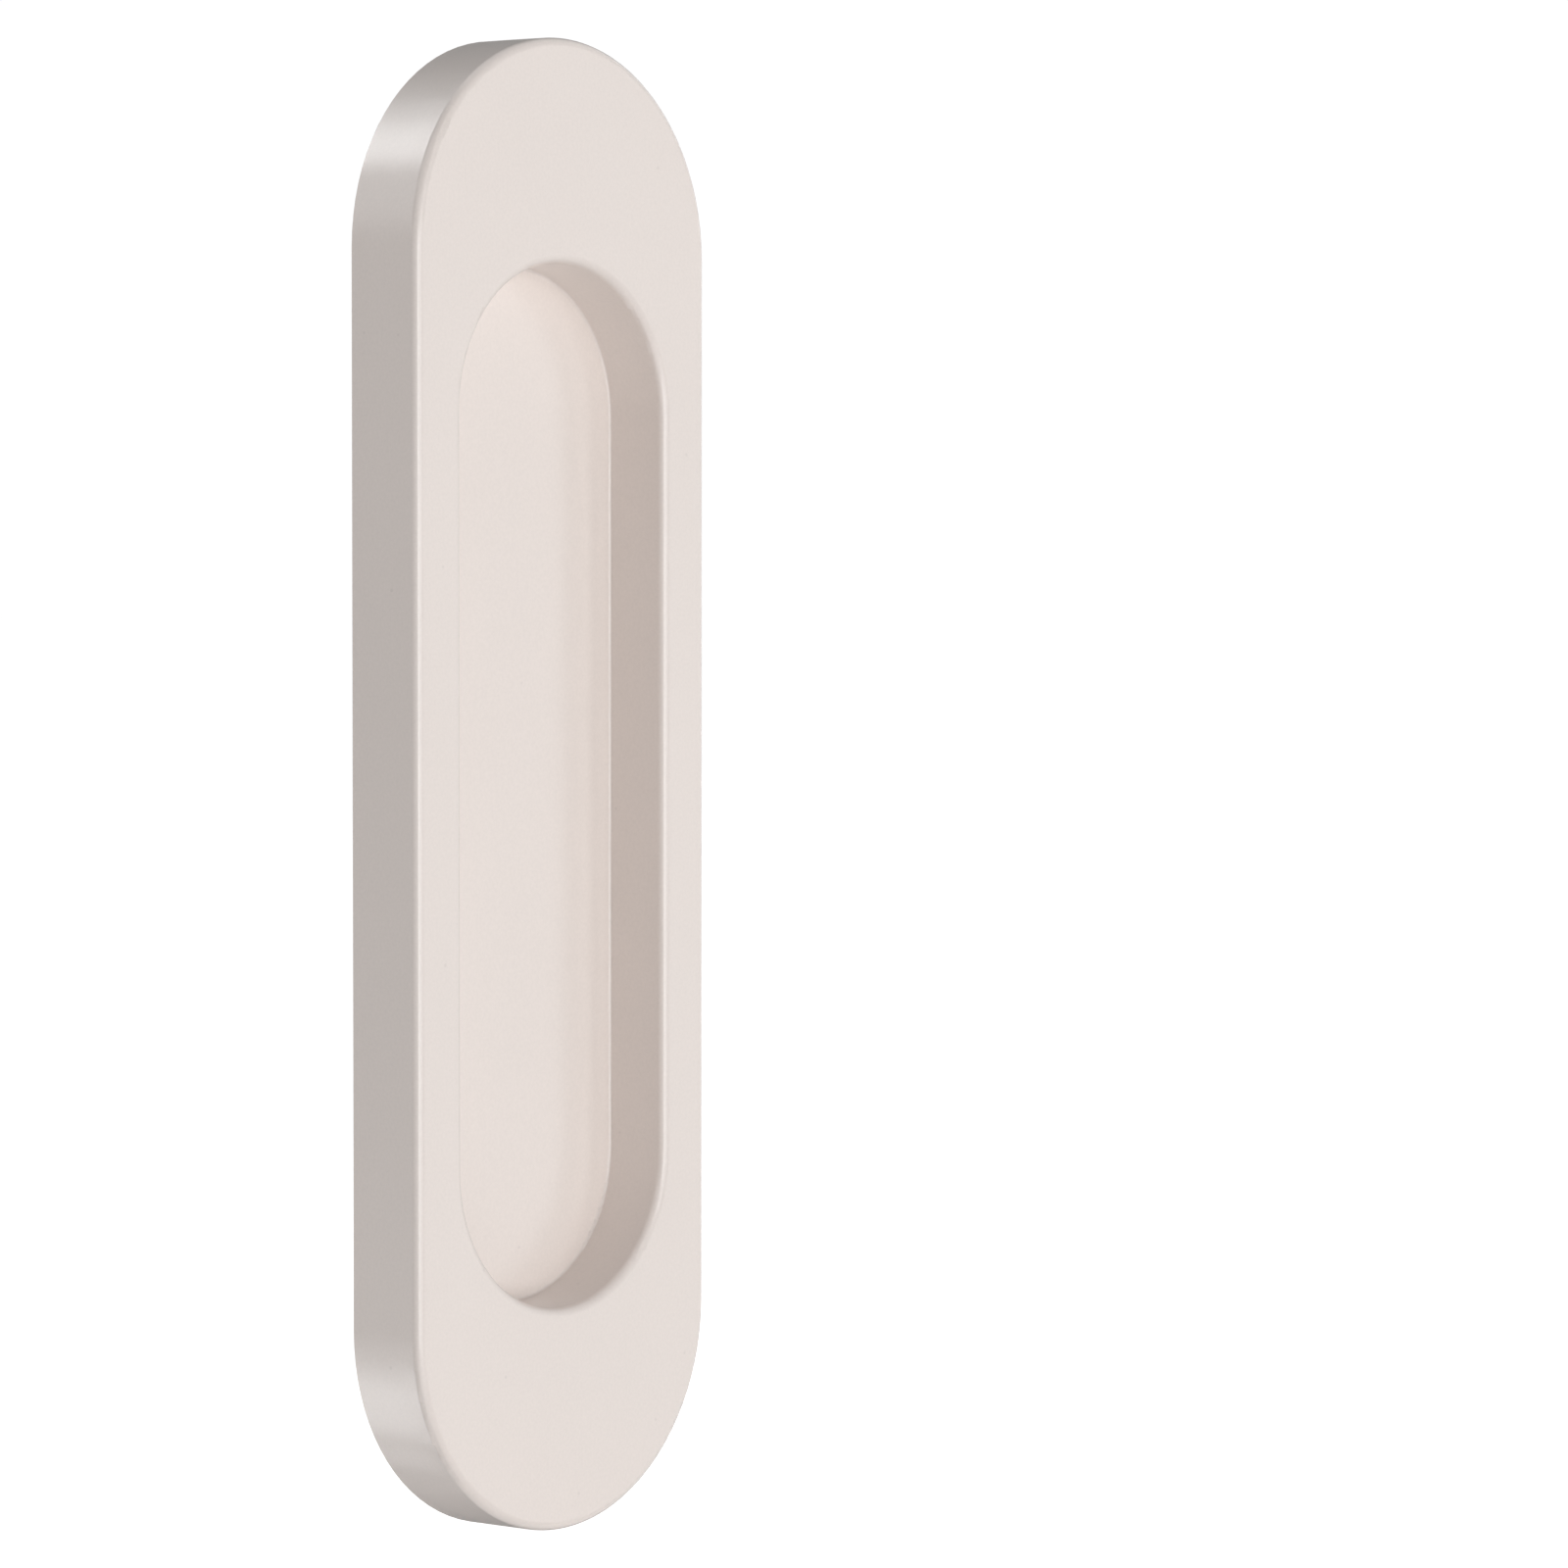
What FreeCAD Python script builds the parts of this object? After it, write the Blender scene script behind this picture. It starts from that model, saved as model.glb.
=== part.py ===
import FreeCAD, Part
import math
import os

import Sketcher

# Surface-mounted pocket door pull: one casting with round ends, a drafted finger recess
# and a cored back with ribs. Millimetres and degrees. +Z runs up the pull, the front face
# looks along -Y, and the back face lies on y = 0, against the door.

driving_dimensions = [
    ("pull_length", 150.0, "overall height at the back face"),
    ("pull_width", 43.0, "overall width at the back face"),
    ("pull_thickness", 9.0, "how far the front face stands off the door"),
    ("side_draft", 0.5, "draft of the outer side"),
    ("front_edge_radius", 0.9, "rounding of the outer front edge"),
    ("back_edge_break", 0.2, "small chamfer round the back face"),
    ("recess_length", 105.0, "height of the finger recess at its mouth"),
    ("recess_width", 30.0, "width of the finger recess at its mouth"),
    ("recess_draft", 1.0, "draft of the recess wall, inside and out"),
    ("recess_wall", 1.8, "wall round the recess, even from mouth to floor"),
    ("floor_thickness", 1.7, "metal behind the recess"),
    ("mouth_radius", 0.9, "rounding of the recess mouth"),
    ("recess_floor_radius", 0.3, "fillet where the recess wall meets its floor"),
    ("rim_wall", 1.8, "outer wall at the back face"),
    ("face_thickness", 2.0, "metal between the front face and the core"),
    ("core_draft", 1.0, "draft of the rim wall inside the core"),
    ("core_bevel", 0.5, "bevel round the bottom of the core"),
    ("rib_thickness", 1.4, "every rib in the core"),
    ("rib_setback", 0.5, "ribs stop this far short of the back face"),
    ("upright_rib_pitch", 8.5, "from the middle rib to the upright rib beside it"),
    ("cross_rib_pitch", 18.5, "spacing of the ribs across the sides"),
]
cross_ribs = 5

# A pad this long from the back face ends inside the metal under the front face
inside_face = "driving.pull_thickness - driving.face_thickness / 2"
end_rise = "(driving.pull_length - driving.pull_width) / 2"
recess_rise = "(driving.recess_length - driving.recess_width) / 2"

# A constraint counts a curve's start, end and centre up from 1, and the sketch's own origin
# and upright axis down from -1
start_point, end_point, centre_point = range(1, 4)
sketch_origin, upright_axis = range(-1, -3, -1)
on_plane = 1e-4

doc = FreeCAD.newDocument("pocket_door_pull")


def make_sheet():
    sheet = doc.addObject("Spreadsheet::Sheet", "driving")
    for row, (alias, value, meaning) in enumerate(driving_dimensions, start=1):
        sheet.set(f"A{row}", alias)
        sheet.set(f"B{row}", str(value))
        sheet.set(f"C{row}", meaning)
        sheet.setAlias(f"B{row}", alias)
    doc.recompute()


def size_of(alias):
    return float(doc.getObject("driving").get(alias))


def datum(body, role):
    return next(f for f in body.Origin.OriginFeatures if f.Role == role)


def new_sketch(body, name, across="0", up="0", out="0"):
    """Sketch parallel to the back face, its origin moved across, up and out from the door."""
    sketch = body.newObject("Sketcher::SketchObject", name)
    sketch.AttachmentSupport = [(datum(body, "XZ_Plane"), "")]
    sketch.MapMode = "FlatFace"
    sketch.setExpression("AttachmentOffset.Base.x", across)
    sketch.setExpression("AttachmentOffset.Base.y", up)
    sketch.setExpression("AttachmentOffset.Base.z", out)
    return sketch


def size_constraint(sketch, name, expression, *constraint):
    index = sketch.addConstraint(Sketcher.Constraint(*constraint))
    sketch.renameConstraint(index, name)
    sketch.setExpression(f"Constraints.{name}", expression)


def stadium_sketch(body, name, end_radius, centre_rise, out="0"):
    """Two upright sides joined by half circles centred centre_rise above and below the middle."""
    sketch = new_sketch(body, name, out=out)
    point = FreeCAD.Vector
    radius, rise = 10.0, 30.0
    normal = point(0, 0, 1)
    right = sketch.addGeometry(Part.LineSegment(point(radius, -rise), point(radius, rise)))
    upper_circle = Part.Circle(point(0, rise), normal, radius)
    top = sketch.addGeometry(Part.ArcOfCircle(upper_circle, 0, math.pi))
    left = sketch.addGeometry(Part.LineSegment(point(-radius, rise), point(-radius, -rise)))
    lower_circle = Part.Circle(point(0, -rise), normal, radius)
    bottom = sketch.addGeometry(Part.ArcOfCircle(lower_circle, math.pi, 2 * math.pi))
    sketch.addConstraint(Sketcher.Constraint("Vertical", right))
    for before, after in ((right, top), (top, left), (left, bottom), (bottom, right)):
        tangent = Sketcher.Constraint("Tangent", before, end_point, after, start_point)
        sketch.addConstraint(tangent)
    for arc in (top, bottom):
        on_axis = Sketcher.Constraint("PointOnObject", arc, centre_point, upright_axis)
        sketch.addConstraint(on_axis)
    size_constraint(sketch, "end_radius", end_radius, "Radius", top, radius)
    upper_centre = (sketch_origin, start_point, top, centre_point)
    lower_centre = (bottom, centre_point, sketch_origin, start_point)
    size_constraint(sketch, "upper_rise", centre_rise, "DistanceY", *upper_centre, rise)
    size_constraint(sketch, "lower_rise", centre_rise, "DistanceY", *lower_centre, rise)
    return sketch


def bar_sketch(body, name, width, height, across="0", up="0"):
    """Rectangle about the sketch's own origin, at the height where the ribs stop."""
    sketch = new_sketch(body, name, across, up, "driving.rib_setback")
    half = 5.0
    corners = [(-half, -half), (half, -half), (half, half), (-half, half)]
    points = [FreeCAD.Vector(x, y) for x, y in corners]
    base, right, head, left = (
        sketch.addGeometry(Part.LineSegment(points[i], points[(i + 1) % 4])) for i in range(4)
    )
    for before, after in ((base, right), (right, head), (head, left), (left, base)):
        corner = Sketcher.Constraint("Coincident", before, end_point, after, start_point)
        sketch.addConstraint(corner)
    for line, direction in ((base, "Horizontal"), (head, "Horizontal")):
        sketch.addConstraint(Sketcher.Constraint(direction, line))
    for line, direction in ((right, "Vertical"), (left, "Vertical")):
        sketch.addConstraint(Sketcher.Constraint(direction, line))
    opposite_corners = (base, start_point, head, start_point)
    centred = Sketcher.Constraint("Symmetric", *opposite_corners, sketch_origin, start_point)
    sketch.addConstraint(centred)
    size_constraint(
        sketch, "width", width, "DistanceX", base, start_point, base, end_point, 2 * half
    )
    size_constraint(
        sketch, "height", height, "DistanceY", right, start_point, right, end_point, 2 * half
    )
    return sketch


def finish_step(body, feature):
    body.Tip = feature
    doc.recompute()
    return feature


def volume_of(body):
    return body.Tip.Shape.Volume if body.Tip else 0.0


def check_added(body, before, what):
    if volume_of(body) <= before:
        raise RuntimeError(f"{what} added nothing")


def pad(body, name, sketch, length, outward_taper="0"):
    feature = body.newObject("PartDesign::Pad", name)
    feature.Profile = sketch
    feature.setExpression("Length", length)
    feature.setExpression("TaperAngle", outward_taper)
    return finish_step(body, feature)


def pocket(body, name, sketch, depth, draft, from_back=False):
    before = volume_of(body)
    feature = body.newObject("PartDesign::Pocket", name)
    feature.Profile = sketch
    feature.Reversed = from_back
    feature.setExpression("Length", depth)
    feature.setExpression("TaperAngle", f"-{draft}")
    finish_step(body, feature)
    if volume_of(body) >= before:
        raise RuntimeError(f"{name} removed nothing")
    return feature


def flat_face(shape, y, looks_along):
    """Largest flat face on the plane y, looking along +Y or -Y."""
    return max(
        (
            face
            for face in shape.Faces
            if isinstance(face.Surface, Part.Plane)
            and abs(face.BoundBox.YMin - y) < on_plane
            and abs(face.BoundBox.YMax - y) < on_plane
            and face.normalAt(0, 0).y * looks_along > 0
        ),
        key=lambda face: face.BoundBox.DiagonalLength,
    )


def edge_names(shape, chosen):
    numbered = enumerate(shape.Edges, start=1)
    return [f"Edge{n}" for n, edge in numbered if any(edge.isSame(one) for one in chosen)]


def edge_feature(body, kind, name, chosen_edges, size_property, size):
    base = body.Tip
    feature = body.newObject(f"PartDesign::{kind}", name)
    feature.Base = (base, edge_names(base.Shape, chosen_edges))
    feature.setExpression(size_property, size)
    return finish_step(body, feature)


def fillet(body, name, chosen_edges, radius):
    return edge_feature(body, "Fillet", name, chosen_edges, "Radius", radius)


def chamfer(body, name, chosen_edges, size):
    return edge_feature(body, "Chamfer", name, chosen_edges, "Size", size)


def make_outer_form(body):
    outline = stadium_sketch(body, "outline", "driving.pull_width / 2", end_rise)
    pad(body, "outer_form", outline, "driving.pull_thickness", "-driving.side_draft")
    check_added(body, 0.0, "outer_form")


def make_core(body):
    """Hollow the back to an even rim, stand the recess's own wall in it, and bevel the bottom."""
    inner_radius = "driving.pull_width / 2 - driving.rim_wall"
    core_outline = stadium_sketch(body, "core_outline", inner_radius, end_rise)
    core_depth = "driving.pull_thickness - driving.face_thickness"
    pocket(body, "core", core_outline, core_depth, "driving.core_draft", from_back=True)

    before = volume_of(body)
    narrowing = "driving.pull_thickness * tan(driving.recess_draft * 1 deg)"
    tub_radius = f"driving.recess_width / 2 + driving.recess_wall - {narrowing}"
    tub_outline = stadium_sketch(body, "tub_outline", tub_radius, recess_rise)
    pad(body, "tub", tub_outline, inside_face, "driving.recess_draft")
    check_added(body, before, "tub")

    core_bottom = flat_face(
        body.Tip.Shape, size_of("face_thickness") - size_of("pull_thickness"), 1
    )
    chamfer(body, "core_bottom_bevel", core_bottom.Edges, "driving.core_bevel")


def make_ribs(body):
    """Upright ribs the height of the core and ribs across it, ending inside the rim wall."""
    before_ribs = volume_of(body)
    rib_depth = f"{inside_face} - driving.rib_setback"
    mid_wall = "(driving.pull_width - driving.rim_wall) / 2"
    middle = bar_sketch(
        body, "middle_rib_outline", "driving.rib_thickness", f"2 * ({end_rise} + {mid_wall})"
    )
    pad(body, "middle_rib", middle, rib_depth)

    far_side = "driving.upright_rib_pitch + driving.rib_thickness / 2"
    reach = f"sqrt(({mid_wall}) ^ 2 - ({far_side}) ^ 2)"
    beside = bar_sketch(
        body,
        "upright_rib_outline",
        "driving.rib_thickness",
        f"2 * ({end_rise} + {reach})",
        across="driving.upright_rib_pitch",
    )
    upright = pad(body, "upright_rib", beside, rib_depth)
    pair = body.newObject("PartDesign::Mirrored", "upright_rib_pair")
    pair.Originals = [upright]
    pair.MirrorPlane = (datum(body, "YZ_Plane"), [""])
    finish_step(body, pair)

    span = f"{cross_ribs - 1} * driving.cross_rib_pitch"
    lowest = bar_sketch(
        body, "cross_rib_outline", f"2 * {mid_wall}", "driving.rib_thickness", up=f"-{span} / 2"
    )
    cross = pad(body, "cross_rib", lowest, rib_depth)
    row = body.newObject("PartDesign::LinearPattern", "cross_rib_row")
    row.Originals = [cross]
    row.Direction = (datum(body, "Z_Axis"), [""])
    row.Occurrences = cross_ribs
    row.setExpression("Length", span)
    finish_step(body, row)
    # Beside a wide recess the rim and recess walls merge and leave a cross rib no gap to
    # fill, so the ribs are checked together
    check_added(body, before_ribs, "ribs")


def make_recess(body):
    mouth = stadium_sketch(
        body, "mouth_outline", "driving.recess_width / 2", recess_rise, "driving.pull_thickness"
    )
    depth = "driving.pull_thickness - driving.floor_thickness"
    pocket(body, "recess", mouth, depth, "driving.recess_draft")


def round_edges(body):
    front = flat_face(body.Tip.Shape, -size_of("pull_thickness"), -1)
    mouth_edges = [edge for edge in front.Edges if edge_names(front.OuterWire, [edge]) == []]
    fillet(body, "mouth_fillet", mouth_edges, "driving.mouth_radius")
    front = flat_face(body.Tip.Shape, -size_of("pull_thickness"), -1)
    fillet(body, "front_edge_fillet", front.OuterWire.Edges, "driving.front_edge_radius")
    recess_floor = flat_face(body.Tip.Shape, -size_of("floor_thickness"), -1)
    fillet(body, "recess_floor_fillet", recess_floor.Edges, "driving.recess_floor_radius")
    rim = flat_face(body.Tip.Shape, 0, 1)
    chamfer(body, "back_edge_chamfer", rim.OuterWire.Edges, "driving.back_edge_break")


def make_pull():
    body = doc.addObject("PartDesign::Body", "pull_body")
    body.Label = "pull_body"
    body.Placement = FreeCAD.Placement()
    make_outer_form(body)
    make_core(body)
    make_ribs(body)
    make_recess(body)
    round_edges(body)
    return body


def check_document(sub_parts):
    for item in doc.Objects:
        if "Invalid" in item.State or "Error" in item.State:
            raise RuntimeError(f"{item.Label} could not be rebuilt: {item.State}")
    for part in sub_parts:
        if part.Shape.isNull() or not part.Shape.isValid() or len(part.Shape.Solids) != 1:
            raise RuntimeError(f"{part.Label} isn't one valid solid")


make_sheet()
sub_parts = [make_pull()]
doc.recompute()
check_document(sub_parts)
os.makedirs("parts", exist_ok=True)
for part in sub_parts:
    part.Shape.exportStep(f"parts/{part.Label}.step")
    box = part.Shape.BoundBox
    print(
        part.Label,
        f"{box.XLength:.3f} x {box.YLength:.3f} x {box.ZLength:.3f} mm,",
        f"{part.Shape.Volume:.1f} mm3, {len(part.Shape.Faces)} faces",
    )
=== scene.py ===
import math

import bpy
from mathutils import Matrix, Vector


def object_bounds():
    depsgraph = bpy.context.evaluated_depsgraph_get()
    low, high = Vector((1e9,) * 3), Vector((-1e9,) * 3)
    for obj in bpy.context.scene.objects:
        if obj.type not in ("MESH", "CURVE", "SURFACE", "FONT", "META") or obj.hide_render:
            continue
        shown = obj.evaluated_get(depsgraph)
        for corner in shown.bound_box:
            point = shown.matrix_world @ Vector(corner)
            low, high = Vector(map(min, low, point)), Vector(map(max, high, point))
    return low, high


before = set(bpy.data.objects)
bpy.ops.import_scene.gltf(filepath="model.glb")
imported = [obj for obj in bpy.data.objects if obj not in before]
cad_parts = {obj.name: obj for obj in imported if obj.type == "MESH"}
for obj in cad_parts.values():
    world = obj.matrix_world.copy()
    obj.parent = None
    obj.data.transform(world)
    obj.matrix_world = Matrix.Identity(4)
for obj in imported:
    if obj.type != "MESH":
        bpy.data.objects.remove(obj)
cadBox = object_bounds()
print("casting loaded:", ", ".join(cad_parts))

mm = 0.001
plainWhite = (1, 1, 1, 1)

# Where the picture is taken from. The pull stands left of the middle of the picture, as in
# the photograph, so the camera is turned a little to the right of it.
cameraValues = {
    "aroundDegrees": 47.479,  # from straight in front, over the pull's left side
    "aboveDegrees": 2.295,
    "rollDegrees": -0.041,
    "distance": 592.6 * mm,
    "aimDepth": 4.5 * mm,  # the point aimed from, in front of the back face
    "focalPixels": 5990.1,
    "pullPixel": (543.34, 802.0),  # where that point shows
    "pictureSide": 1600,
    "sensorWidth": 36.0,
    "nearestSeen": 0.05,
    "farthestSeen": 50.0,
}


def fromAround(aroundDegrees, aboveDegrees):
    # the way to a thing seen from the pull, counted from straight in front over its left side
    around, above = math.radians(aroundDegrees), math.radians(aboveDegrees)
    level = math.cos(above)
    return Vector((-math.sin(around) * level, -math.cos(around) * level, math.sin(above)))


def makeCamera(values):
    aim = Vector((0, -values["aimDepth"], 0))
    towards = fromAround(values["aroundDegrees"], values["aboveDegrees"])
    look = towards.to_track_quat("Z", "Y").to_matrix().to_4x4()
    middle = values["pictureSide"] / 2
    across = math.atan((values["pullPixel"][0] - middle) / values["focalPixels"])
    down = math.atan((values["pullPixel"][1] - middle) / values["focalPixels"])
    turn = Matrix.Rotation(across, 4, "Y") @ Matrix.Rotation(down, 4, "X")
    roll = Matrix.Rotation(math.radians(values["rollDegrees"]), 4, "Z")
    data = bpy.data.cameras.new("photoCamera")
    data.sensor_width = values["sensorWidth"]
    data.lens = values["focalPixels"] / values["pictureSide"] * values["sensorWidth"]
    data.clip_start, data.clip_end = values["nearestSeen"], values["farthestSeen"]
    camera = bpy.data.objects.new("photoCamera", data)
    bpy.context.collection.objects.link(camera)
    place = Matrix.Translation(aim + towards * values["distance"])
    camera.matrix_world = place @ look @ turn @ roll
    bpy.context.scene.camera = camera


makeCamera(cameraValues)
print("camera set")


def setInput(tree, socket, value):
    # a plain value is set on the socket, and another node's output is linked to it
    if isinstance(value, bpy.types.NodeSocket):
        tree.links.new(value, socket)
    else:
        socket.default_value = value


def addNode(tree, kind, inputs):
    node = tree.nodes.new(kind)
    for name, value in inputs.items():
        setInput(tree, node.inputs[name], value)
    return node


def addMath(tree, operation, first, second):
    node = addNode(tree, "ShaderNodeMath", {0: first, 1: second})
    node.operation = operation
    return node.outputs[0]


def addRange(tree, value, fromRange, toRange):
    inputs = {"Value": value, "From Min": fromRange[0], "From Max": fromRange[1]}
    inputs.update({"To Min": toRange[0], "To Max": toRange[1]})
    return addNode(tree, "ShaderNodeMapRange", inputs).outputs["Result"]


def newMaterial(name):
    material = bpy.data.materials.new(name)
    material.use_nodes = True
    return material, material.node_tree, material.node_tree.nodes["Principled BSDF"]


# The satin finish: warm paint under a thin lacquer, with faint clouds, a fine grain, a soft
# ripple and a few specks of dust, as on a sprayed casting
finishValues = {
    "colour": (0.79, 0.7155, 0.673),
    "roughness": 0.42,
    "roughnessSpread": 0.05,
    "lacquer": 1.0,
    "lacquerRoughness": 0.25,
    "noiseMiddle": (0.3, 0.7),  # where nearly all values of a noise lie
    "cloudSize": 22 * mm,
    "cloudDetail": 2,
    "cloudShade": 0.008,
    "grainSize": 0.32 * mm,
    "grainDetail": 2,
    "grainShade": 0.02,
    "grainDepth": 0.0005 * mm,
    "rippleSize": 2.6 * mm,
    "rippleDetail": 1,
    "rippleDepth": 0.002 * mm,
    "speckSpacing": 4.5 * mm,
    "speckSize": 0.24 * mm,
    "speckCore": 0.5,  # of its size, fully dark, and fading from there
    "speckShade": 0.08,
    "speckShare": 0.5,  # of the places where a speck could be
}


def addNoise(tree, place, size, detail):
    inputs = {"Vector": place, "Scale": 1 / size, "Detail": detail}
    return addNode(tree, "ShaderNodeTexNoise", inputs).outputs["Fac"]


def addSpecks(tree, place, values):
    # one place for a speck in each cell, and a speck in some of them
    cellInputs = {"Vector": place, "Scale": 1 / values["speckSpacing"]}
    cells = addNode(tree, "ShaderNodeTexVoronoi", cellInputs)
    reach = values["speckSize"] / values["speckSpacing"]
    fading = (reach * values["speckCore"], reach)
    core = addRange(tree, cells.outputs["Distance"], fading, (1, 0))
    lottery = addNode(tree, "ShaderNodeSeparateColor", {"Color": cells.outputs["Color"]})
    chosen = addMath(tree, "LESS_THAN", lottery.outputs[0], values["speckShare"])
    return addMath(tree, "MULTIPLY", core, chosen)


def addShades(tree, values, cloud, grain, speck):
    # how light or dark the paint is from place to place, round about 1
    middle, clouds, grains = values["noiseMiddle"], values["cloudShade"], values["grainShade"]
    cloudy = addRange(tree, cloud, middle, (1 - clouds, 1 + clouds))
    grainy = addRange(tree, grain, middle, (1 - grains, 1 + grains))
    dusty = addRange(tree, speck, (0, 1), (1, 1 - values["speckShade"]))
    return addMath(tree, "MULTIPLY", addMath(tree, "MULTIPLY", cloudy, grainy), dusty)


def makeFinish(values):
    material, tree, shader = newMaterial("satinNickel")
    place = tree.nodes.new("ShaderNodeTexCoord").outputs["Object"]
    cloud = addNoise(tree, place, values["cloudSize"], values["cloudDetail"])
    grain = addNoise(tree, place, values["grainSize"], values["grainDetail"])
    ripple = addNoise(tree, place, values["rippleSize"], values["rippleDetail"])
    speck = addSpecks(tree, place, values)

    paint = addNode(tree, "ShaderNodeVectorMath", {0: values["colour"]})
    paint.operation = "SCALE"
    setInput(tree, paint.inputs["Scale"], addShades(tree, values, cloud, grain, speck))
    setInput(tree, shader.inputs["Base Color"], paint.outputs[0])

    rough, spread = values["roughness"], values["roughnessSpread"]
    roughness = addRange(tree, grain, values["noiseMiddle"], (rough - spread, rough + spread))
    setInput(tree, shader.inputs["Roughness"], roughness)
    shader.inputs["Coat Weight"].default_value = values["lacquer"]
    shader.inputs["Coat Roughness"].default_value = values["lacquerRoughness"]

    # the paint shows grain and ripple, the lacquer over it the ripple only
    rippleInputs = {"Height": ripple, "Distance": values["rippleDepth"]}
    rippled = addNode(tree, "ShaderNodeBump", rippleInputs)
    grainInputs = {"Height": grain, "Distance": values["grainDepth"], "Normal": rippled.outputs[0]}
    grainy = addNode(tree, "ShaderNodeBump", grainInputs)
    setInput(tree, shader.inputs["Normal"], grainy.outputs[0])
    setInput(tree, shader.inputs["Coat Normal"], rippled.outputs[0])
    return material


# The casting: its skin is joined and its sharp edges get the small radius of a die casting
castingValues = {
    "joinWithin": 0.001 * mm,
    "flatWithinDegrees": 0.4,  # faces this near to level with each other become one
    "edgeRadius": 0.25 * mm,
    "edgeSteps": 2,
    "sharpFromDegrees": 32,
}


def softenEdges(casting, values):
    join = casting.modifiers.new("joinSkin", "WELD")
    join.merge_threshold = values["joinWithin"]
    flats = casting.modifiers.new("mergeFlats", "DECIMATE")
    flats.decimate_type = "DISSOLVE"
    flats.angle_limit = math.radians(values["flatWithinDegrees"])
    edges = casting.modifiers.new("castEdges", "BEVEL")
    edges.limit_method = "ANGLE"
    edges.angle_limit = math.radians(values["sharpFromDegrees"])
    edges.width = values["edgeRadius"]
    edges.segments = values["edgeSteps"]
    shading = casting.modifiers.new("evenShading", "WEIGHTED_NORMAL")
    shading.keep_sharp = False


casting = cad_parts["pull_body"]
softenEdges(casting, castingValues)
finish = makeFinish(finishValues)
for materialSlot in casting.material_slots:
    materialSlot.material = finish
print("casting softened and finished")

# The studio, from here on: a white surround, a pale floor, two grey screens and soft lamps
surroundValues = {
    "white": 1.02,  # strength of the background as the camera and reflections see it
    "ambient": 0.16,  # what the surround gives as plain light
}


def addSeenRays(tree):
    # 1 for what the camera sees, also in a reflection or through glass
    path = tree.nodes.new("ShaderNodeLightPath")
    seen = addMath(tree, "MAXIMUM", path.outputs["Is Camera Ray"], path.outputs["Is Glossy Ray"])
    return addMath(tree, "MAXIMUM", seen, path.outputs["Is Transmission Ray"])


def makeSurround(values):
    world = bpy.data.worlds.new("whiteSurround")
    world.use_nodes = True
    tree = world.node_tree
    background = tree.nodes["Background"]
    background.inputs["Color"].default_value = plainWhite
    strength = addRange(tree, addSeenRays(tree), (0, 1), (values["ambient"], values["white"]))
    setInput(tree, background.inputs["Strength"], strength)
    bpy.context.scene.world = world


makeSurround(surroundValues)

floorValues = {
    "size": 12.0,
    "colour": (0.6, 0.6, 0.6),
    "glow": 0.92,  # with the lamps' light on it, the floor shows as white as the surround
}


def makeStageMesh(name, points, faces, material):
    mesh = bpy.data.meshes.new(name)
    mesh.from_pydata(points, [], faces)
    mesh.materials.append(material)
    thing = bpy.data.objects.new(name, mesh)
    bpy.context.collection.objects.link(thing)
    return thing


def makeFloor(values):
    material, tree, shader = newMaterial("paleFloor")
    shader.inputs["Base Color"].default_value = (*values["colour"], 1)
    shader.inputs["Roughness"].default_value = 1
    shader.inputs["Specular IOR Level"].default_value = 0
    shader.inputs["Emission Color"].default_value = plainWhite
    glow = addMath(tree, "MULTIPLY", addSeenRays(tree), values["glow"])
    setInput(tree, shader.inputs["Emission Strength"], glow)
    half = values["size"] / 2
    level = cadBox[0][2]  # the lowest point of the casting
    corners = [(-half, -half, level), (half, -half, level)]
    corners += [(half, half, level), (-half, half, level)]
    floor = makeStageMesh("floor", corners, [(0, 1, 2, 3)], material)
    floor.visible_glossy = floor.visible_shadow = False


makeFloor(floorValues)

# The screens stand round the pull's back and sides, and only its reflections show them
screenValues = {
    "radius": 1.6,
    "halfHeight": 2.4,
    "steps": 20,
    # name: degrees round to the pull's left, from and to, and how bright
    "screens": {"nearScreen": (95, 205, 0.36), "farScreen": (205, 255, 0.22)},
}


def makeScreen(name, values):
    fromDegrees, toDegrees, grey = values["screens"][name]
    material, tree, shader = newMaterial(name + "Grey")
    tree.nodes.remove(shader)
    glow = addNode(tree, "ShaderNodeEmission", {"Strength": grey})
    setInput(tree, tree.nodes["Material Output"].inputs["Surface"], glow.outputs[0])
    steps, half = values["steps"], values["halfHeight"]
    points = []
    for step in range(steps + 1):
        around = fromDegrees + (toDegrees - fromDegrees) * step / steps
        foot = fromAround(around, 0) * values["radius"]
        points += [(foot.x, foot.y, -half), (foot.x, foot.y, half)]
    faces = [(2 * i, 2 * i + 2, 2 * i + 3, 2 * i + 1) for i in range(steps)]
    screen = makeStageMesh(name, points, faces, material)
    screen.visible_camera = screen.visible_diffuse = screen.visible_shadow = False


for screenName in screenValues["screens"]:
    makeScreen(screenName, screenValues)

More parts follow.
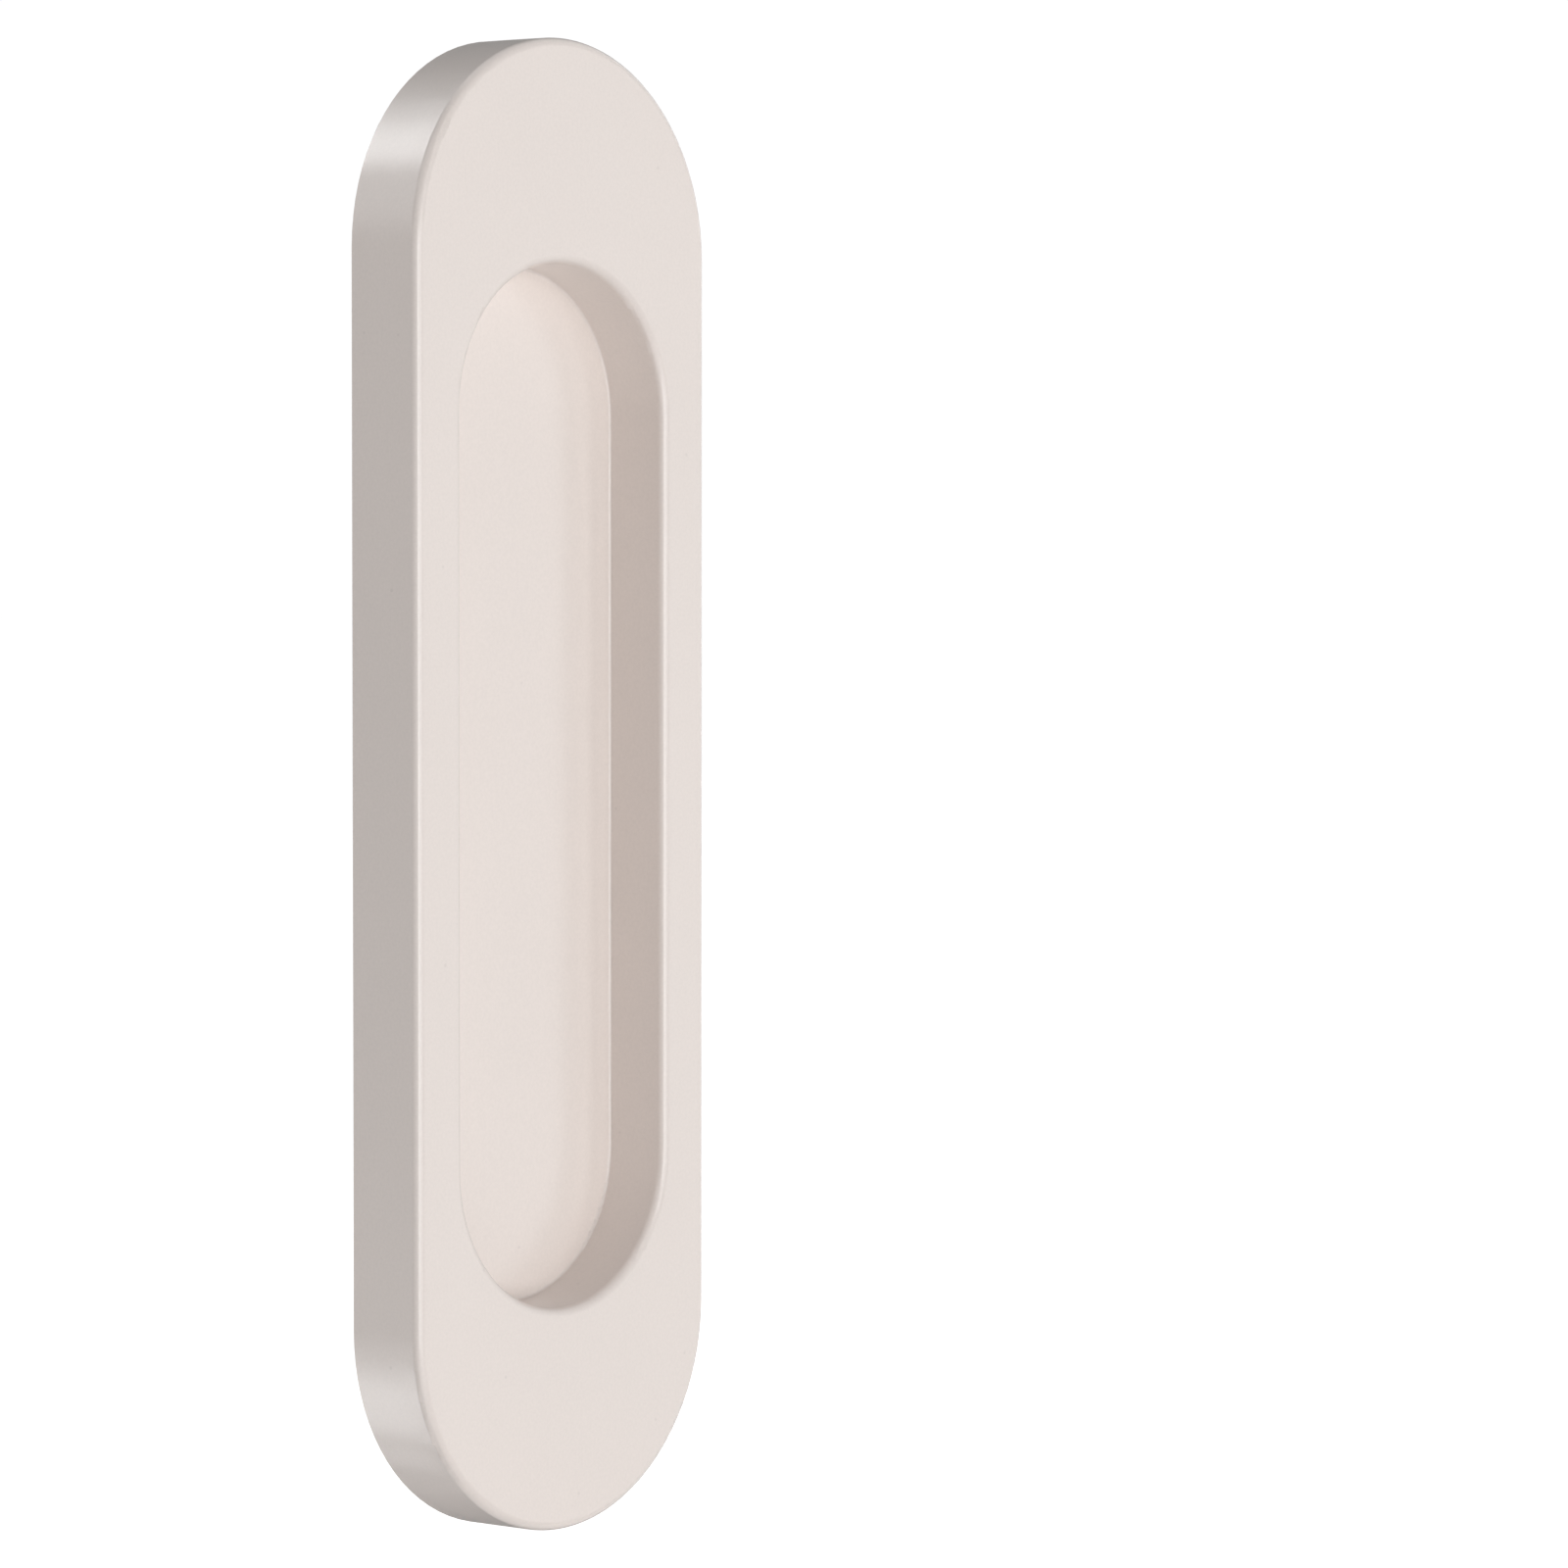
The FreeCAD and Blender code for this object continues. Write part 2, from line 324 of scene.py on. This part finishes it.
lampValues = {
    "distance": 1.2,
    # these light the paint only: mirrored in the lacquer, they would glare
    "paintOnly": ("frontLamp", "frontRightLamp", "backLamp", "rightSideLamp"),
    # name: degrees round to the pull's left, degrees up, width, height, watts
    "lamps": {
        "frontLamp": (-4, 0, 0.26, 0.7, 2.5),
        "frontRightLamp": (-26, 0, 0.21, 0.7, 1.85),
        "highlightLamp": (4, 0, 0.24, 0.7, 2.3),
        "frontLeftLamp": (30, -2, 0.3, 0.5, 3.6),
        "rightLamp": (-48, 0, 0.21, 0.7, 0.38),
        "lowLeftLamp": (40, -35, 0.5, 0.5, 1.0),
        "upperSideLamp": (100, 45, 0.5, 0.5, 0.84),
        "lowerSideLamp": (100, -45, 0.5, 0.5, 0.88),
        "upperBandNear": (138, 21, 0.4, 0.4, 0.7),
        "upperBandEdge": (148, 35.5, 0.2, 0.2, 0.58),
        "upperBandCore": (152.5, 39, 0.2, 0.2, 0.6),
        "upperBandLamp": (159, 42.5, 0.2, 0.2, 0.66),
        "upperBandFar": (170, 48, 0.3, 0.3, 0.54),
        "lowerBandNear": (132, -18, 0.3, 0.3, 0.42),
        "lowerBandCore": (140, -28, 0.25, 0.25, 0.6),
        "lowerBandLamp": (148, -37.5, 0.36, 0.36, 1.44),
        "lowerBandFar": (172, -46, 0.25, 0.25, 0.26),
        "backLamp": (180, 5, 0.6, 0.6, 3.4),
        "rightSideLamp": (-95, 0, 0.6, 0.9, 6.0),
        "topLamp": (180, 75, 0.4, 0.4, 0.4),
    },
}


def makeLamp(name, values):
    around, above, width, height, watts = values["lamps"][name]
    data = bpy.data.lights.new(name, "AREA")
    data.shape = "RECTANGLE"
    data.size, data.size_y = width, height
    data.energy = watts
    lamp = bpy.data.objects.new(name, data)
    comesFrom = fromAround(around, above)
    lamp.location = comesFrom * values["distance"]
    lamp.rotation_euler = comesFrom.to_track_quat("Z", "Y").to_euler()
    lamp.visible_glossy = name not in values["paintOnly"]
    bpy.context.collection.objects.link(lamp)


for lampName in lampValues["lamps"]:
    makeLamp(lampName, lampValues)
bpy.context.scene.view_settings.view_transform = "Standard"
print("studio lit")
